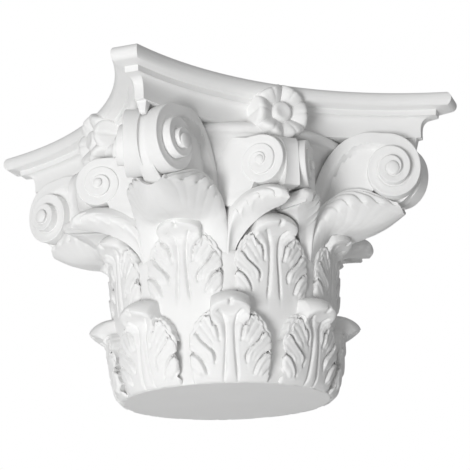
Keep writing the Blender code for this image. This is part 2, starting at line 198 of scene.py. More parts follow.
def add_turned(shape, directions):
    """Turns the shape to the first direction and adds a copy of it at each of the others."""
    model = [*shape.verts, *shape.edges, *shape.faces]
    copies = [bmesh.ops.duplicate(shape, geom=model)["geom"] for _ in directions[1:]]
    for direction, part in zip(directions, (model, *copies)):
        verts = of_kind(part, bmesh.types.BMVert)
        turn = Matrix.Rotation(math.radians(direction), 3, "Z")
        bmesh.ops.rotate(shape, verts=verts, cent=(0, 0, 0), matrix=turn)


def merge_into(shape, other):
    """Moves the other shape's geometry into the first one."""
    mesh = bpy.data.meshes.new("passing")
    other.to_mesh(mesh)
    other.free()
    shape.from_mesh(mesh)
    bpy.data.meshes.remove(mesh)


def finish_piece(name, shape, crease=CREASE_ANGLE):
    """Turns the shape into a finished piece that stands for the moulded solid."""
    mesh = bpy.data.meshes.new(name)
    shape.to_mesh(mesh)
    shape.free()
    mesh.shade_smooth()
    mesh.set_sharp_from_angle(angle=crease)
    mesh.materials.append(moulded_material())
    piece = bpy.data.objects.new(name, mesh)
    bpy.context.scene.collection.objects.link(piece)
    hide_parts(NODE)
    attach(piece, "root")
    return piece


# Sizes and colours that a user would change

class CarvingSizes(bpy.types.PropertyGroup):
    leaf_relief: FloatProperty(
        name="Leaf relief", description="How deep the leaves are carved", default=0.0028,
        min=0.0, max=0.006, subtype="DISTANCE", unit="LENGTH",
    )
    tip_overhang: FloatProperty(
        name="Tip overhang", description="How far the tip of a leaf curls out",
        default=0.0205, min=0.0, max=0.03, subtype="DISTANCE", unit="LENGTH",
    )
    scroll_turns: FloatProperty(
        name="Scroll turns", description="How often the band of a scroll winds round its eye",
        default=2.5, min=1.5, max=3.5,
    )
    petals: IntProperty(
        name="Petals", description="Petals of the flower on each side", default=6, min=4, max=8,
    )


class MouldedFinish(bpy.types.PropertyGroup):
    colour: FloatVectorProperty(
        name="Colour", description="Colour of the moulded surface", default=(0.86, 0.86, 0.855),
        min=0.0, max=1.0, size=3, subtype="COLOR",
    )
    roughness: FloatProperty(
        name="Roughness", description="Roughness of the moulded surface", default=0.55,
        min=0.0, max=1.0, subtype="FACTOR",
    )
    grain: FloatProperty(
        name="Grain", description="Size of the faint grain left by the mould", default=0.0012,
        min=0.0002, max=0.01, subtype="DISTANCE", unit="LENGTH",
    )


def sizes():
    return bpy.context.scene.capital_sizes


# Finish: clouds per metre, how they lighten the colour and dull the sheen, and the grain's depth

CLOUD_SCALE = 14.0
CLOUD_TONES = (0.955, 1.025)
CLOUD_ROUGHNESS = 0.12
GRAIN_STRENGTH = 0.12
GRAIN_DEPTH = 0.0002


def grain_group():
    """A node group: faint clouding and grain, as left on foam by its mould."""
    name = "Moulded grain"
    if name in bpy.data.node_groups:
        return bpy.data.node_groups[name]
    group = bpy.data.node_groups.new(name, "ShaderNodeTree")
    for title, way, kind in (
        ("Colour", "INPUT", "Color"), ("Roughness", "INPUT", "Float"), ("Scale", "INPUT", "Float"),
        ("Colour", "OUTPUT", "Color"), ("Roughness", "OUTPUT", "Float"),
        ("Height", "OUTPUT", "Float"),
    ):
        group.interface.new_socket(title, in_out=way, socket_type=f"NodeSocket{kind}")
    nodes, links = group.nodes, group.links
    given = nodes.new("NodeGroupInput")
    result = nodes.new("NodeGroupOutput")
    place = nodes.new("ShaderNodeTexCoord")

    clouds = nodes.new("ShaderNodeTexNoise")
    clouds.inputs["Scale"].default_value = CLOUD_SCALE
    clouds.inputs["Detail"].default_value = 4.0
    links.new(place.outputs["Object"], clouds.inputs["Vector"])
    fine = nodes.new("ShaderNodeTexNoise")
    fine.inputs["Detail"].default_value = 3.0
    links.new(place.outputs["Object"], fine.inputs["Vector"])
    links.new(given.outputs["Scale"], fine.inputs["Scale"])

    tone = nodes.new("ShaderNodeMapRange")
    tone.inputs["To Min"].default_value = CLOUD_TONES[0]
    tone.inputs["To Max"].default_value = CLOUD_TONES[1]
    links.new(clouds.outputs["Fac"], tone.inputs["Value"])
    tint = nodes.new("ShaderNodeVectorMath")
    tint.operation = "SCALE"
    links.new(given.outputs["Colour"], tint.inputs[0])
    links.new(tone.outputs["Result"], tint.inputs["Scale"])
    links.new(tint.outputs["Vector"], result.inputs["Colour"])

    sheen = nodes.new("ShaderNodeMath")
    sheen.operation = "MULTIPLY_ADD"
    sheen.inputs[1].default_value = CLOUD_ROUGHNESS
    links.new(clouds.outputs["Fac"], sheen.inputs[0])
    links.new(given.outputs["Roughness"], sheen.inputs[2])
    links.new(sheen.outputs["Value"], result.inputs["Roughness"])
    links.new(fine.outputs["Fac"], result.inputs["Height"])
    return group


def moulded_material():
    """Matte white rigid foam, primed and ready for paint."""
    name = "Moulded white"
    if name in bpy.data.materials:
        return bpy.data.materials[name]
    finish = bpy.context.scene.capital_finish
    material = bpy.data.materials.new(name)
    material.use_nodes = True
    nodes, links = material.node_tree.nodes, material.node_tree.links
    shader = nodes["Principled BSDF"]
    shader.inputs["Metallic"].default_value = 0.0
    shader.inputs["Specular IOR Level"].default_value = 0.3
    grain = nodes.new("ShaderNodeGroup")
    grain.node_tree = grain_group()
    grain.inputs["Colour"].default_value = (*finish.colour, 1.0)
    grain.inputs["Roughness"].default_value = finish.roughness
    grain.inputs["Scale"].default_value = 1.0 / finish.grain
    links.new(grain.outputs["Colour"], shader.inputs["Base Color"])
    links.new(grain.outputs["Roughness"], shader.inputs["Roughness"])
    bump = nodes.new("ShaderNodeBump")
    bump.inputs["Strength"].default_value = GRAIN_STRENGTH
    bump.inputs["Distance"].default_value = GRAIN_DEPTH
    links.new(grain.outputs["Height"], bump.inputs["Height"])
    links.new(bump.outputs["Normal"], shader.inputs["Normal"])
    return material


# Bell: modules out and up, from the base to the lip

BELL_PROFILE = (
    (0.995, 0.0), (0.99, 0.4), (0.985, 0.8), (1.0, 1.2), (1.06, 1.7), (1.13, 2.0), (1.20, 2.2),
    (1.27, 2.285), (1.325, 2.31), (1.345, 2.35), (1.32, 2.39), (1.27, 2.42),
)
BELL_ROWS = 60
BELL_STEPS = 128


def bell_shape():
    """The turned bell, with its rounded lip under the abacus."""
    line = curve(BELL_PROFILE, np.linspace(0.0, 1.0, BELL_ROWS))
    shape = bmesh.new()
    outline = [(0.0, 0.0), *line, (0.0, line[-1][1])]
    verts = [shape.verts.new(world(0.0, np.float64(out), 0.0, up)) for out, up in outline]
    edges = [shape.edges.new(pair) for pair in zip(verts, verts[1:])]
    bmesh.ops.spin(
        shape, geom=[*verts, *edges], axis=(0, 0, 1), cent=(0, 0, 0),
        angle=2 * math.pi, steps=BELL_STEPS, use_merge=True,
    )
    bmesh.ops.remove_doubles(shape, verts=shape.verts[:], dist=JOIN_DISTANCE)
    face_outwards(shape)
    return shape


# Abacus, in modules. Its full diagonal is set over the lower diameter

ABACUS_FOOT = 2.4
ABACUS_MODULES = 0.4
HALF_DIAGONAL = 0.531 / 0.22
HORN_WIDTH = 0.2545
SIDE_HOLLOW = 0.4273
CAVETTO_STEPS = 12
OVOLO_STEPS = 16
ARC_STEPS = 26


def abacus_levels():
    """From the soffit up: height share, pull-back at the horn, at mid-side, and width share.

    A cavetto, a fillet and a full ovolo.
    """
    levels = []
    for step in range(CAVETTO_STEPS + 1):
        turn = math.pi / 2 * step / CAVETTO_STEPS
        rise, run = math.sin(turn), (1 - math.cos(turn)) ** 1.8
        levels.append((0.50 * rise, 0.337 - 0.150 * run, 0.232 - 0.080 * run, 0.34 + 0.14 * run))
    levels.append((0.505, 0.174, 0.140, 0.50))
    levels.append((0.640, 0.166, 0.134, 0.51))
    levels.append((0.650, 0.140, 0.110, 0.58))
    for step in range(OVOLO_STEPS + 1):
        turn = math.radians(-75 + 145 * step / OVOLO_STEPS)
        bulge = 1 - math.cos(turn)
        share = 0.835 + 0.165 * math.sin(turn) / math.sin(math.radians(75))
        levels.append((min(share, 1.0), 0.062 * bulge, 0.052 * bulge, 1.0 - 0.16 * bulge))
    return levels


def abacus_outline(horn_back, side_back, width_share):
    """The four hollow sides in modules, each an arc from one horn's corner to the next."""
    reach = HALF_DIAGONAL - horn_back
    half_width = HORN_WIDTH * width_share / 2
    corner_out = (reach + half_width) * math.sqrt(0.5)
    corner_across = (reach - half_width) * math.sqrt(0.5)
    top_out = (HALF_DIAGONAL + HORN_WIDTH / 2) * math.sqrt(0.5)
    hollow = corner_out - (top_out - SIDE_HOLLOW - side_back)
    radius = (corner_across**2 + hollow**2) / (2 * hollow)
    half_angle = math.asin(corner_across / radius)
    middle = corner_out - hollow + radius
    angles = half_angle * np.linspace(-1.0, 1.0, 2 * ARC_STEPS + 1)
    across = radius * np.sin(angles)
    out = middle - radius * np.cos(angles)
    return [world(direction, out, across, 0.0) for direction in FACES]


def abacus_shape():
    """The hollow-sided slab: one ring of edges, drawn up through its levels."""
    shape = bmesh.new()
    bmesh.ops.create_circle(shape, segments=len(FACES) * (2 * ARC_STEPS + 1), radius=1.0)
    ring = sorted(shape.verts, key=lambda vert: math.atan2(vert.co.y, vert.co.x))
    edges = shape.edges[:]
    for level, (height_share, *pulls) in enumerate(abacus_levels()):
        if level:
            grown = bmesh.ops.extrude_edge_only(shape, edges=edges)["geom"]
            edges = open_edges(grown)
            fresh = set(of_kind(grown, bmesh.types.BMVert))
            above = {edge.other_vert(vert): vert for vert in fresh
                     for edge in vert.link_edges if edge.other_vert(vert) not in fresh}
            ring = [above[vert] for vert in ring]
        spots = np.concatenate(abacus_outline(*pulls))
        for vert, spot in zip(ring, spots):
            vert.co = spot
            vert.co.z = MODULE * (ABACUS_FOOT + ABACUS_MODULES * height_share)
    bmesh.ops.holes_fill(shape, edges=open_edges(shape.edges), sides=0)
    face_outwards(shape)
    return shape


# Acanthus leaves of the two rows. Paths run up the middle, over the tip and back to the
# bell: modules beyond the leaf's face, and modules above the tip

HOOD_PATH = (
    (0.000, -0.160), (0.014, -0.112), (0.048, -0.076), (0.100, -0.050), (0.150, -0.030),
    (0.180, -0.008), (0.183, 0.006), (0.165, 0.040), (0.130, 0.074), (0.085, 0.102),
    (0.030, 0.125), (-0.050, 0.142), (-0.140, 0.150),
)
SIDE_PATH = (
    (0.000, -0.090), (0.003, -0.060), (0.005, -0.035), (0.002, -0.012), (-0.014, 0.000),
    (-0.032, 0.004), (-0.052, 0.006), (-0.074, 0.008), (-0.096, 0.010), (-0.118, 0.012),
    (-0.140, 0.014), (-0.162, 0.016), (-0.185, 0.018),
)
# Faces of the leaves from the foot to the hood: modules up from the tip, and out beyond the face
LOWER_FACE = (
    (-0.691, -0.120), (-0.655, -0.085), (-0.607, -0.062), (-0.520, -0.040), (-0.450, -0.027),
    (-0.370, -0.012), (-0.297, -0.004), (-0.220, 0.0), (0.0, 0.0),
)
UPPER_FACE = (
    (-1.458, -0.120), (-1.160, -0.100), (-0.840, -0.070), (-0.770, -0.048), (-0.490, -0.018),
    (-0.300, -0.010), (-0.160, 0.0), (0.0, 0.0),
)
# How far the hood reaches at its tip, half the leaf's width, the radius that it is wrapped
# round, how far out its root lies, and its foot's height over the underside
HOOD_REACH = 0.183
HALF_LEAF = 0.385
LEAF_WRAP = 1.13
LEAF_ROOT = 0.80
BASE_GAP = 0.002

# Where the carving ends below the tip, the share of the rows that the face takes below the
# hood, and half the width over which the hood turns into the side of the leaf
CARVED_FOOT = -0.70
FACE_ROWS = 0.52
HOOD_BLEND = 0.012

# Lines of the relief on the right half of a leaf: across, and up from the tip. The rib's edge,
# the notch of the tip, the grooves that part the lobes, and the fingers of each lobe
RIB_LINE = ((0.070, -0.70), (0.054, -0.52), (0.044, -0.38), (0.040, -0.27), (0.044, -0.18),
            (0.062, -0.10), (0.100, -0.02))
TIP_NOTCH = ((0.0, 0.045), (0.0, 0.09), (0.0, 0.16))
LOBE_GROOVES = (
    ((0.236, -0.045), (0.208, -0.070), (0.152, -0.135), (0.114, -0.230), (0.102, -0.325)),
    ((0.392, -0.225), (0.350, -0.236), (0.300, -0.265), (0.262, -0.325), (0.200, -0.385),
     (0.158, -0.430), (0.142, -0.480), (0.150, -0.525)),
    ((0.395, -0.420), (0.350, -0.434), (0.300, -0.465), (0.252, -0.540), (0.222, -0.620)),
)
FINGERS = (
    ((0.088, -0.330), (0.098, -0.210), (0.135, -0.110), (0.180, -0.030)),
    ((0.126, -0.325), (0.150, -0.215), (0.205, -0.120), (0.232, -0.085)),
    ((0.140, -0.345), (0.192, -0.255), (0.245, -0.160), (0.276, -0.118)),
    ((0.165, -0.375), (0.232, -0.290), (0.290, -0.220), (0.322, -0.175)),
    ((0.200, -0.365), (0.265, -0.290), (0.325, -0.240), (0.362, -0.215)),
    ((0.170, -0.520), (0.190, -0.430), (0.262, -0.355), (0.332, -0.280)),
    ((0.190, -0.520), (0.235, -0.440), (0.305, -0.370), (0.366, -0.300)),
    ((0.220, -0.515), (0.280, -0.450), (0.345, -0.395), (0.386, -0.365)),
    ((0.240, -0.640), (0.262, -0.570), (0.315, -0.500), (0.366, -0.455)),
    ((0.275, -0.650), (0.305, -0.590), (0.350, -0.535), (0.388, -0.500)),
)
FINGER_WIDTH = 0.031
# Notches in the side of a leaf: up from the tip, and how deep
SIDE_NOTCHES = ((-0.225, 0.032), (-0.425, 0.034), (-0.620, 0.026))
# Upper edge of a leaf beside its hood: across, and up from the tip
OUTLINE = ((0.200, -0.045), (0.240, -0.068), (0.285, -0.105), (0.330, -0.165), (0.372, -0.235),
           (0.392, -0.300))


def leaf_relief(across, up):
    """How far the leaf's surface stands out, in parts of its relief, at places on it."""
    x = np.abs(across)
    height = np.zeros_like(x)
    for finger in FINGERS:
        far, _, along = nearest(x, up, finger)
        width = FINGER_WIDTH * (0.45 + 0.75 * np.sin(np.pi * np.clip(along * 0.85, 0.0, 1.0)))
        ridge = 0.70 * np.sqrt(np.clip(1 - (far / width) ** 2, 0.0, 1.0)) * blend(0.0, 0.25, along)
        height = np.maximum(height, ridge)
    for groove in LOBE_GROOVES:
        far, side, along = nearest(x, up, groove)
        depth = blend(0.0, 0.12, along) * (1 - 0.6 * blend(0.8, 1.0, along))
        height -= 1.6 * depth * np.exp(-((far / 0.011) ** 2))
        height += 0.50 * depth * np.exp(-((far / 0.05) ** 2)) * (side > 0)
    far, side, along = nearest(x, up, RIB_LINE)
    height -= (1.4 - 0.5 * along) * np.exp(-((far / 0.012) ** 2))
    height += 0.35 * np.exp(-((x / 0.05) ** 2)) * (up < -0.1)
    far, _, along = nearest(x, up, TIP_NOTCH)
    height -= 1.5 * np.exp(-((far / 0.013) ** 2))
    return height


def leaf_shape(tip_up, face_out, face, half_hood, foot_rows, columns, rows):
    """One leaf at direction 0, its tip tip_up modules high and its face face_out modules out.

    half_hood is half the hood's width. foot_rows of the rows lie below the carved face.
    """
    relief = sizes().leaf_relief / MODULE
    reach = sizes().tip_overhang / MODULE / HOOD_REACH
    outline = curve(OUTLINE, np.linspace(0.0, 1.0, 60))
    bottom = BASE_GAP - tip_up
    face_low = max(bottom, CARVED_FOOT)
    foot_share = foot_rows / rows
    face_share = foot_share + (1 - foot_share) * FACE_ROWS

    def path(side, t):
        """Out beyond the face, and up from the tip, for a column at side from -1 to 1."""
        across = np.abs(side) * HALF_LEAF
        hooded = 1 - blend(half_hood - HOOD_BLEND, half_hood + HOOD_BLEND, across)
        roundness = np.sqrt(np.clip(1 - (across / (half_hood * 1.12)) ** 2, 0.0, 1.0))
        top = np.interp(across, outline[:, 0], outline[:, 1])
        teeth = 0.016 * np.abs(np.sin(np.pi * (across - 0.21) / 0.045)) - 0.012
        top = top + teeth * (1 - hooded)
        drop = np.where(across > half_hood - HOOD_BLEND, top, 0.0) * (1 - hooded)
        dip = 0.05 * (across / half_hood) ** 2 * hooded
        knots = []
        for (hood_out, hood_up), (side_out, side_up) in zip(HOOD_PATH, SIDE_PATH):
            out = reach * hood_out * np.where(hood_out > 0, roundness, 1.0) * hooded
            out = out + side_out * (1 - hooded)
            up = (hood_up - dip) * hooded + (side_up + drop) * (1 - hooded)
            knots.append(np.stack([out, up], axis=-1))
        over = curve(np.array(knots), (t - face_share) / (1 - face_share))
        share = np.clip((t - foot_share) / (face_share - foot_share), 0.0, 1.0)
        low_up = bottom + (face_low - bottom) * t / max(foot_share, 1e-9)
        face_up = np.where(t < foot_share, low_up,
                           face_low + (knots[0][:, 1] - face_low) * share)
        low = np.stack([from_table(face, face_up) + knots[0][:, 0], face_up], axis=-1)
        return np.where((t < face_share)[:, None], low, over)

    def front(s, t):
        side = 2 * s - 1
        out, up = path(side, t).T
        before, after = path(side, t - 0.004), path(side, t + 0.004)
        tangent = after - before
        tangent /= np.maximum(np.hypot(*tangent.T), 1e-9)[:, None]
        over = np.clip(t - face_share, 0.0, 1.0) / (1 - face_share)
        travelled = np.where(t > face_share, -0.16 + 0.62 * over, up)
        carved = blend(-0.72, -0.60, up) * (1 - blend(0.16, 0.30, travelled))
        notch = sum(deep * np.exp(-(((up - place) / 0.020) ** 2)) for place, deep in SIDE_NOTCHES)
        across = side * (HALF_LEAF - notch * np.abs(side) ** 6)
        edge = HALF_LEAF - np.abs(across)
        height = relief * carved * leaf_relief(across, travelled)
        height -= 0.025 * (1 - np.sqrt(np.clip(1 - (1 - np.clip(edge / 0.03, 0, 1)) ** 2, 0, 1)))
        out = out + height * tangent[:, 1]
        up = up - height * tangent[:, 0]
        return world(np.degrees(across / LEAF_WRAP), face_out + out, 0.0, tip_up + up)

    base, top = path(np.zeros(2), np.array([0.0, 1.0]))[:, 1]

    def root(s, t):
        return world(0.0 * s, LEAF_ROOT + 0.0 * s, 0.0, tip_up + base + (top - base) * t)

    return carved_sheet(columns, rows, front, root)


def lower_leaves_shape():
    shape = leaf_shape(
        tip_up=0.693, face_out=1.145, face=LOWER_FACE, half_hood=0.178,
        foot_rows=0, columns=88, rows=116,
    )
    add_turned(shape, BETWEENS)
    return shape


def upper_leaves_shape():
    shape = leaf_shape(
        tip_up=1.460, face_out=1.130, face=UPPER_FACE, half_hood=0.208,
        foot_rows=12, columns=84, rows=128,
    )
    add_turned(shape, FACES + CORNERS)
    return shape


# Stalks between the upper leaves: out, up and radius, and how much wider than deep they are

STALK_LINE = ((0.995, 0.50, 0.085), (1.005, 0.90, 0.086), (1.015, 1.05, 0.086),
              (1.025, 1.13, 0.088), (1.030, 1.18, 0.086), (1.030, 1.215, 0.072),
              (1.028, 1.238, 0.046), (1.025, 1.245, 0.012))
STALK_SPREAD = 1.7
STALK_ROWS = 40


def stalks_shape():
    """Flattened stalks, rounded off where the scrolls and their leaves come out."""
    line = curve(STALK_LINE, np.linspace(0.0, 1.0, STALK_ROWS))
    shape = bmesh.new()
    edges = None
    for out, up, radius in line:
        spot = Vector(world(0.0, np.float64(out), 0.0, up))
        if edges is None:
            bmesh.ops.create_circle(shape, segments=32, radius=radius * MODULE)
            verts, edges = shape.verts[:], shape.edges[:]
            bmesh.ops.scale(shape, verts=verts, vec=(STALK_SPREAD, 1, 1))
            bmesh.ops.translate(shape, verts=verts, vec=spot)
        else:
            grown = bmesh.ops.extrude_edge_only(shape, edges=edges)["geom"]
            verts, edges = of_kind(grown, bmesh.types.BMVert), open_edges(grown)
            bmesh.ops.translate(shape, verts=verts, vec=spot - before)
            wider = radius / last_radius
            bmesh.ops.scale(
                shape, verts=verts, vec=(wider, wider, 1), space=Matrix.Translation(-spot),
            )
        before, last_radius = spot, radius
    bmesh.ops.holes_fill(shape, edges=shape.edges[:], sides=0)
    face_outwards(shape)
    add_turned(shape, BETWEENS)
    return shape


# Corner leaves: a net of modules out, across and up. Each row runs from the keel over the rim
# to the edge of the flap that is turned over behind it

CORNER_ROWS = (0.0, 0.20, 0.40, 0.55, 0.70, 0.85, 1.0)
CORNER_NET = (
    ((1.03, 0, 1.20), (1.04, 0.18, 1.20), (1.04, 0.32, 1.20), (1.03, 0.42, 1.20),
     (0.98, 0.42, 1.22)),
    ((1.08, 0, 1.36), (1.09, 0.20, 1.36), (1.10, 0.34, 1.37), (1.08, 0.440, 1.40),
     (1.03, 0.42, 1.46)),
    ((1.14, 0, 1.48), (1.17, 0.18, 1.475), (1.20, 0.34, 1.50), (1.17, 0.445, 1.57),
     (1.10, 0.42, 1.66)),
    ((1.32, 0, 1.505), (1.34, 0.18, 1.505), (1.34, 0.32, 1.565), (1.31, 0.430, 1.69),
     (1.23, 0.39, 1.78)),
    ((1.50, 0, 1.51), (1.50, 0.15, 1.53), (1.49, 0.28, 1.610), (1.45, 0.400, 1.765),
     (1.37, 0.335, 1.87)),
    ((1.68, 0, 1.565), (1.675, 0.11, 1.585), (1.67, 0.20, 1.66), (1.64, 0.275, 1.765),
     (1.56, 0.275, 1.865)),
    ((1.86, 0, 1.66), (1.86, 0.04, 1.67), (1.855, 0.08, 1.695), (1.84, 0.115, 1.735),
     (1.79, 0.09, 1.76)),
)
CORNER_RIM = 0.75
CORNER_GRID = (150, 130)

# Where its lobes meet on the rim, as shares along the leaf
CORNER_NOTCHES = (0.30, 0.43, 0.55, 0.66, 0.77, 0.87, 0.96)


def corner_relief(along, reach):
    """How far a corner leaf stands out at shares along it and from its keel to its edge.

    Each notch of the rim runs down into a hooked groove, and under it a rib to the keel.
    """
    height = np.zeros_like(along)
    for notch in CORNER_NOTCHES:
        late = float(blend(0.45, 0.78, notch))
        hook = ((notch - 0.26, 0.96), (notch - 0.12, 0.92), (notch - 0.02, 0.82), (notch, 0.70))
        far, side, share = nearest(along, 0.8 * reach, [(x, 0.8 * y) for x, y in hook])
        depth = (0.12 + 0.88 * late) * blend(0.0, 0.4, share)
        height -= 0.030 * depth * np.exp(-((far / 0.016) ** 2))
        height += 0.018 * depth * np.exp(-((far / 0.055) ** 2)) * (side > 0)
        rib = ((notch, 0.70), (notch - 0.08, 0.52), (notch - 0.20, 0.34), (notch - 0.34, 0.22))
        far, _, share = nearest(along, 0.8 * reach, [(x, 0.8 * y) for x, y in rib])
        height -= 0.004 * (0.4 + 0.6 * late) * (1 - share) ** 0.7 * np.exp(-((far / 0.018) ** 2))
    return height


def corner_leaves_shape():
    """The leaf under a corner volute: a ribbed shield whose scalloped rim is turned over."""

    def front(s, t):
        side = 2 * s - 1
        reach = np.abs(side)
        out, across, up = net(CORNER_NET, CORNER_ROWS, reach, t)
        lobe = np.abs(np.sin(np.pi * np.interp(t, (0.0, *CORNER_NOTCHES, 1.0), np.arange(9))))
        rim = np.exp(-(((reach - CORNER_RIM) / 0.08) ** 2)) * blend(0.10, 0.30, t)
        scallop = 0.026 * (lobe - 0.8) * rim
        proud = corner_relief(t, reach) * blend(0.02, 0.10, t)
        out = out + 0.5 * proud
        up = up + scallop - 0.5 * proud * (reach < CORNER_RIM) + 0.5 * proud * (reach > CORNER_RIM)
        across = across + 0.5 * scallop + 0.4 * proud * reach
        return world(0.0, out, np.sign(side) * across, up)

    def root(s, t):
        side = 2 * s - 1
        out, across, up = net(CORNER_NET, CORNER_ROWS, 0.6 * np.abs(side), t)
        return world(0.0, np.maximum(out - 0.30, 0.92), 0.8 * np.sign(side) * across, up + 0.10 * t)

    shape = carved_sheet(*CORNER_GRID, front, root)
    add_turned(shape, CORNERS)
    return shape


# Inner leaves: a net of modules out, across and up. Each row runs from the lower edge through
# the hollow face to the rim, and over the rolled band to the upper edge

INNER_ROWS = (0.0, 0.20, 0.40, 0.60, 0.75, 0.90, 1.0)
INNER_NET = (
    ((1.00, 0.365, 1.17), (1.02, 0.405, 1.17), (1.03, 0.428, 1.18), (1.02, 0.440, 1.19),
     (1.00, 0.445, 1.22)),
    ((1.04, 0.330, 1.29), (1.05, 0.380, 1.35), (1.10, 0.425, 1.42), (1.09, 0.440, 1.45),
     (1.05, 0.448, 1.47)),
    ((1.12, 0.270, 1.405), (1.14, 0.335, 1.465), (1.23, 0.398, 1.550), (1.22, 0.418, 1.59),
     (1.15, 0.425, 1.620)),
    ((1.24, 0.205, 1.490), (1.28, 0.280, 1.530), (1.40, 0.337, 1.600), (1.41, 0.352, 1.655),
     (1.31, 0.352, 1.710)),
    ((1.36, 0.135, 1.540), (1.42, 0.210, 1.565), (1.52, 0.262, 1.622), (1.54, 0.258, 1.685),
     (1.44, 0.225, 1.752)),
    ((1.50, 0.080, 1.560), (1.55, 0.115, 1.57), (1.61, 0.150, 1.595), (1.63, 0.130, 1.655),
     (1.56, 0.100, 1.710)),
    ((1.62, 0.090, 1.571), (1.625, 0.088, 1.575), (1.63, 0.085, 1.580), (1.635, 0.080, 1.590),
     (1.62, 0.075, 1.61)),
)
INNER_ROOT = 0.90
INNER_GRID = (70, 100)

# Where its lobes meet on the rim, as shares along the leaf
INNER_NOTCHES = (0.40, 0.55, 0.70, 0.85)


def inner_leaves_shape():
    """A pair of drooping tongues over each face leaf, their tips meeting in the middle."""

    def front(s, t):
        out, across, up = net(INNER_NET, INNER_ROWS, s, t)
        height = np.zeros_like(s)
        for notch in INNER_NOTCHES:
            hook = ((notch - 0.38, 0.90), (notch - 0.16, 0.82), (notch - 0.03, 0.68), (notch, 0.50))
            far, side, share = nearest(t, s * 0.4, [(x, 0.4 * y) for x, y in hook])
            depth = blend(0.0, 0.35, share)
            height -= 0.034 * depth * np.exp(-((far / 0.018) ** 2))
            height += 0.026 * depth * np.exp(-((far / 0.060) ** 2)) * (side > 0)
        height *= np.sin(np.pi * np.clip(s, 0.03, 0.97)) ** 0.3 * blend(0.0, 0.1, t)
        return world(0.0, out + 0.8 * height, across - 0.2 * height, up - 0.2 * height)

    def root(s, t):
        _, across, up = net(INNER_NET, INNER_ROWS, s, t)
        return world(0.0, INNER_ROOT + 0.0 * s, across, up + 0.10 * t)

    shape = carved_sheet(*INNER_GRID, front, root)
    add_mirrored(shape)
    add_turned(shape, FACES)
    return shape


# Scrolls: the eye's place (out, across, up), how far the disc is turned from its direction,
# and the outer edge of the band, as turns wound and modules from the eye. Before turn 0 the
# band is the stem that fans out from the bell. RISES is how proud the band is at each turn.
# OVAL, GAP, STEM and GROOVE are as scroll_shape says

TURN_STEPS = 48
BAND_ROWS = 24
SCROLL_DEPTH = 0.50
BAND_ROUNDING = 0.012
VOLUTE_EYE = (1.822, -0.242, 2.030)
VOLUTE_TURNED = -73.0
VOLUTE_OVAL = (0.92, 0.15)
VOLUTE_GAP = 0.04
VOLUTE_STEM = (0.070, 0.125, 0.10)
VOLUTE_GROOVE = 0.018
VOLUTE_BAND = (
    (-0.381, 1.300), (-0.350, 1.090), (-0.309, 0.900), (-0.2547, 0.730), (-0.1907, 0.590),
    (-0.115, 0.450), (-0.05, 0.362), (0.0, 0.338), (0.125, 0.315), (0.25, 0.300), (0.375, 0.298),
    (0.5, 0.292), (0.625, 0.278), (0.75, 0.252), (0.875, 0.232), (1.0, 0.216), (1.25, 0.188),
    (1.5, 0.166), (1.75, 0.142), (2.0, 0.115), (2.25, 0.095), (2.5, 0.075), (3.0, 0.035),
    (3.5, 0.0),
)
VOLUTE_RISES = (
    (-0.4, 0.0), (0.5, 0.004), (0.75, 0.018), (1.0, 0.044), (1.25, 0.075), (1.5, 0.085),
    (1.75, 0.092), (2.0, 0.100), (2.25, 0.110), (2.5, 0.115), (3.5, 0.116),
)
HELIX_EYE = (1.411, 0.254, 1.995)
HELIX_TURNED = 53.2
HELIX_OVAL = (1.0, 0.0)
HELIX_GAP = 0.055
HELIX_STEM = (0.008, 0.085, 0.09)
HELIX_GROOVE = 0.010
HELIX_BAND = (
    (-0.4375, 0.38), (-0.415, 0.42), (-0.391, 0.48), (-0.36, 0.56), (-0.30, 0.58),
    (-0.2544, 0.56), (-0.1786, 0.56), (-0.14, 0.44), (-0.0936, 0.300), (-0.05, 0.265),
    (0.0, 0.250), (0.25, 0.230), (0.5, 0.216), (0.75, 0.196), (1.0, 0.162), (1.25, 0.140),
    (1.5, 0.134), (1.75, 0.110), (2.0, 0.074), (2.25, 0.052), (2.5, 0.045), (3.0, 0.022),
    (3.5, 0.0),
)
HELIX_RISES = (
    (-0.5, 0.0), (0.5, 0.0), (0.75, 0.004), (1.0, 0.010), (1.25, 0.018), (1.75, 0.022),
    (2.25, 0.032), (2.5, 0.034), (3.5, 0.034),
)


def scroll_place(eye, turned):
    """Places from modules along, up and proud of a disc turned so far from direction 0."""
    angle = math.radians(abs(turned))
    hand = math.copysign(1.0, turned)
    eye_out, eye_across, eye_up = eye

    def place(along, up, proud):
        out = eye_out + along * math.sin(angle) + proud * math.cos(angle)
        across = eye_across + hand * (proud * math.sin(angle) - along * math.cos(angle))
        return world(0.0, out, across, eye_up + up)

    return place


